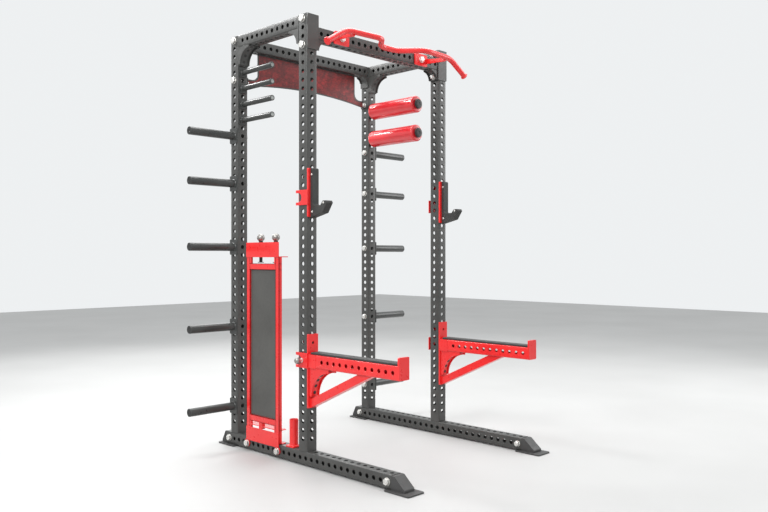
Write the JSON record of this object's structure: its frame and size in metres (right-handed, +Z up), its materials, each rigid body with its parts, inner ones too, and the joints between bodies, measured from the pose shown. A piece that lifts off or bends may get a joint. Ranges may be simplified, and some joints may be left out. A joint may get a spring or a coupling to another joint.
{
  "type": "power cage",
  "caption": "Free-standing power cage with forward base rails, pull-up bar, J-cups, spotter arms, weight pegs, foam rollers and a side storage panel.",
  "frame": {"origin": "on the floor, at the middle of the overall footprint", "axes": "+X to the right of a user who faces the cage, +Y away from that user, +Z up"},
  "size_m": [1.8706, 1.663, 2.58],
  "materials": {
    "charcoal_coat": "dark grey textured powder coat",
    "red_coat": "bright red gloss powder coat",
    "sign_coat": "deeper red coat on a dark plate",
    "zinc_steel": "zinc plated",
    "peg_coat": "dark grey satin coat",
    "foot_casting": "dark grey coated casting",
    "liner_plastic": "dark wear-resistant plastic",
    "black_rubber": "moulded end cap",
    "roller_foam": "skinned foam"
  },
  "bodies": {
    "cage": {"base_rail_left": "charcoal_coat", "foot_front_left": "foot_casting", "foot_rear_left": "foot_casting", "foot_bolt_front_left": "zinc_steel", "foot_bolt_rear_left": "zinc_steel", "upright_front_left": "charcoal_coat", "upright_rear_left": "charcoal_coat", "top_side_rail_left": "charcoal_coat", "weight_peg_left_1": "peg_coat", "weight_peg_left_2": "peg_coat", "weight_peg_left_3": "peg_coat", "weight_peg_left_4": "peg_coat", "weight_peg_left_5": "peg_coat", "spotter_arm_left": "red_coat", "spotter_arm_pad_left": "liner_plastic", "pull_up_bracket_left": "red_coat", "base_rail_right": "charcoal_coat", "foot_front_right": "foot_casting", "foot_rear_right": "foot_casting", "foot_bolt_front_right": "zinc_steel", "foot_bolt_rear_right": "zinc_steel", "upright_front_right": "charcoal_coat", "upright_rear_right": "charcoal_coat", "top_side_rail_right": "charcoal_coat", "weight_peg_right_1": "peg_coat", "weight_peg_right_2": "peg_coat", "weight_peg_right_3": "peg_coat", "weight_peg_right_4": "peg_coat", "weight_peg_right_5": "peg_coat", "spotter_arm_right": "red_coat", "spotter_arm_pad_right": "liner_plastic", "pull_up_bracket_right": "red_coat", "front_crossmember": "charcoal_coat", "rear_crossmember": "charcoal_coat", "nameplate": "sign_coat", "pull_up_bar": "red_coat", "storage_peg_1": "peg_coat", "storage_peg_2": "peg_coat", "storage_peg_3": "peg_coat", "storage_peg_4": "peg_coat", "roller_axle_upper": "charcoal_coat", "roller_cap_upper": "black_rubber", "roller_axle_lower": "charcoal_coat", "roller_cap_lower": "black_rubber", "panel_frame": "red_coat", "panel_insert": "charcoal_coat", "bar_holder": "red_coat"},
    "j_cup_left": {"j_cup_left": "red_coat", "j_cup_liner_left": "liner_plastic"},
    "spotter_pin_left": {"spotter_pin_left": "zinc_steel"},
    "j_cup_right": {"j_cup_right": "red_coat", "j_cup_liner_right": "liner_plastic"},
    "spotter_pin_right": {"spotter_pin_right": "zinc_steel"},
    "foam_roller_upper": {"foam_roller_upper": "roller_foam"},
    "foam_roller_lower": {"foam_roller_lower": "roller_foam"},
    "ball_pin_rear": {"ball_pin_rear": "zinc_steel"},
    "ball_pin_front": {"ball_pin_front": "zinc_steel"}
  },
  "joints": [
    {"name": "j_cup_left_swing", "type": "hinge", "parent": "cage", "child": "j_cup_left", "pos_m": [-0.5725, -0.0255, 1.6535], "axis": [0, 1, 0], "range_deg": [0, 90]},
    {"name": "spotter_pin_left_pull", "type": "slide", "parent": "cage", "child": "spotter_pin_left", "axis": [-1, 0, 0], "range_m": [0, 0.022], "stiffness_N_per_m": 400, "springref_m": -0.01},
    {"name": "j_cup_right_swing", "type": "hinge", "parent": "cage", "child": "j_cup_right", "pos_m": [0.5725, -0.0255, 1.6535], "axis": [0, -1, 0], "range_deg": [0, 90]},
    {"name": "spotter_pin_right_pull", "type": "slide", "parent": "cage", "child": "spotter_pin_right", "axis": [1, 0, 0], "range_m": [0, 0.022], "stiffness_N_per_m": 400, "springref_m": -0.01},
    {"name": "foam_roller_upper_spin", "type": "hinge", "parent": "cage", "child": "foam_roller_upper", "pos_m": [0.5725, 0.4495, 2.2535], "axis": [0, 1, 0], "continuous": true},
    {"name": "foam_roller_lower_spin", "type": "hinge", "parent": "cage", "child": "foam_roller_lower", "pos_m": [0.5725, 0.4495, 2.0535], "axis": [0, 1, 0], "continuous": true},
    {"name": "ball_pin_rear_lift", "type": "slide", "parent": "cage", "child": "ball_pin_rear", "axis": [0, 0, 1], "range_m": [0, 0.026]},
    {"name": "ball_pin_front_lift", "type": "slide", "parent": "cage", "child": "ball_pin_front", "axis": [0, 0, 1], "range_m": [0, 0.026]}
  ]
}
